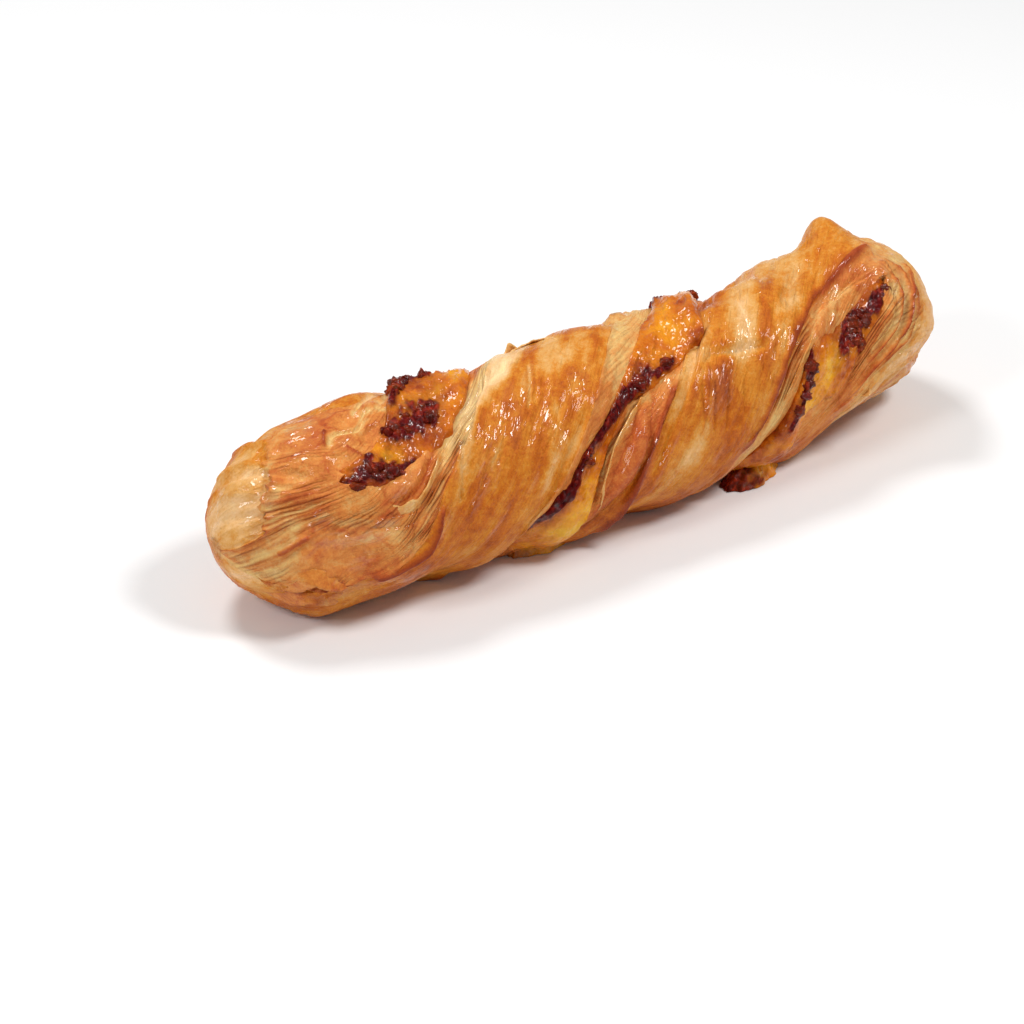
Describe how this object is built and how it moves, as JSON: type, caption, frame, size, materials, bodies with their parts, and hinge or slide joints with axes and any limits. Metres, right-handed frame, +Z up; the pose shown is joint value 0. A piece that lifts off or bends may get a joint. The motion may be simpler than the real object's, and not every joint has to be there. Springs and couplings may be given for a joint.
{
  "type": "cheese pastry twist",
  "caption": "Baked puff pastry strip folded over a cheese layer and twisted along its length, with flaky cut edges, browned cheese oozing from the grooves and a flat underside.",
  "frame": {"origin": "on the surface it rests on, under the middle of the twist's box", "axes": "+X along the twist, towards its folded end; +Z up; -Y is the side that faces the viewer"},
  "size_m": [0.23, 0.0574, 0.0551],
  "materials": {
    "pastry": "egg-washed golden puff pastry crust, glossy on the bands and drier on the flaky edges",
    "cheese": "melted orange-yellow cheese with dark browned crags"
  },
  "bodies": {
    "root": {"pastry": "pastry", "cheese_filling": "cheese"}
  },
  "joints": []
}
